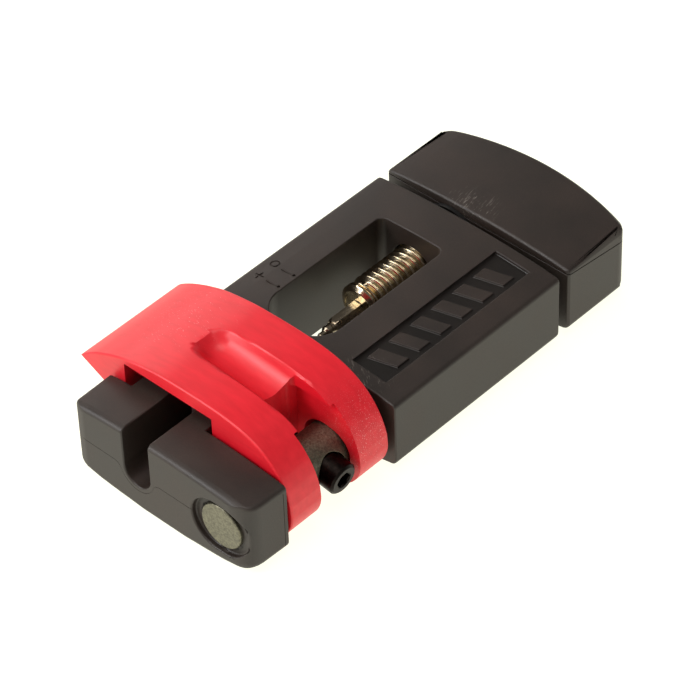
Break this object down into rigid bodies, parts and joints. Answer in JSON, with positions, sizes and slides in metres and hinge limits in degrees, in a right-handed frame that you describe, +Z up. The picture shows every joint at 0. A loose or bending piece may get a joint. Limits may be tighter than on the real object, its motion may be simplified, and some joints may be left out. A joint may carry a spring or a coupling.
{
  "type": "hydraulic hose clamp and barb press tool",
  "caption": "Black moulded hand tool with a slotted nose, a hinged red clamp lever, a threaded press screw with a drive bit in a window, and a wide end knob.",
  "frame": {"origin": "middle of the body's flat underside, below the front face of its main block", "axes": "+Y along the tool from the slotted nose to the knob, +X towards the lever's pivot pin, +Z up out of the body's top"},
  "size_m": [0.0448, 0.0894, 0.0202],
  "materials": {
    "black_nylon": "glass-filled nylon, fine spark texture",
    "knob_nylon": "glass-filled nylon, fine spark texture",
    "red_nylon": "moulded red nylon, satin",
    "bush_acetal": "black acetal",
    "pin_steel": "tumbled zinc-plated steel",
    "screw_nickel": "nickel-plated rolled thread",
    "bit_steel": "bright tool steel",
    "black_oxide": "black oxide steel",
    "spring_steel": "bright spring steel",
    "brass": "turned brass",
    "pad_rubber": "moulded rubber",
    "magnet_nickel": "nickel-plated magnet"
  },
  "bodies": {
    "frame": {"body_shell": "black_nylon", "pin_bush_front": "bush_acetal", "pin_bush_rear": "bush_acetal", "press_nut": "brass", "hose_cradle": "bush_acetal"},
    "pin": {"pivot_pin": "pin_steel"},
    "lever": {"lever": "red_nylon", "jaw_pad": "pad_rubber", "adjuster_nut": "brass"},
    "adjuster": {"adjuster_screw": "black_oxide", "spring_washer_1": "spring_steel", "spring_washer_2": "spring_steel"},
    "tip": {"drive_bit": "bit_steel"},
    "knob": {"press_screw": "screw_nickel", "screw_ferrule": "screw_nickel", "bit_magnet": "magnet_nickel", "thrust_washer": "bush_acetal", "knob_insert": "brass", "knob_body": "knob_nylon", "knob_cover": "knob_nylon", "knob_set_screw": "black_oxide", "knob_cover_screw_1": "black_oxide", "knob_cover_screw_2": "black_oxide"}
  },
  "joints": [
    {"name": "lever_swing", "type": "hinge", "parent": "frame", "child": "pin", "pos_m": [0.0122, -0.012, 0.0075], "axis": [0, 1, 0], "range_deg": [0, 105]},
    {"name": "adjuster_turn", "type": "hinge", "parent": "pin", "child": "adjuster", "pos_m": [0.0122, -0.011, 0.0075], "axis": [0.9895, 0, -0.1444], "range_deg": [-430, 430]},
    {"name": "clamp_adjust", "type": "slide", "parent": "pin", "child": "lever", "axis": [0.9895, 0, -0.1444], "range_m": [-0.00055, 0.00055]},
    {"name": "press_advance", "type": "slide", "parent": "frame", "child": "tip", "axis": [0, 1, 0], "range_m": [-0.00101, 0.01181]},
    {"name": "knob_turn", "type": "hinge", "parent": "tip", "child": "knob", "pos_m": [-0.0051, 0.018, 0.00765], "axis": [0, 1, 0], "range_deg": [-288, 3398]}
  ],
  "couplings": [
    {"joint": "press_advance", "follows": "knob_turn", "m_per_rad": 0.00019894},
    {"joint": "adjuster_turn", "follows": "clamp_adjust", "rad_per_m": -12566}
  ]
}
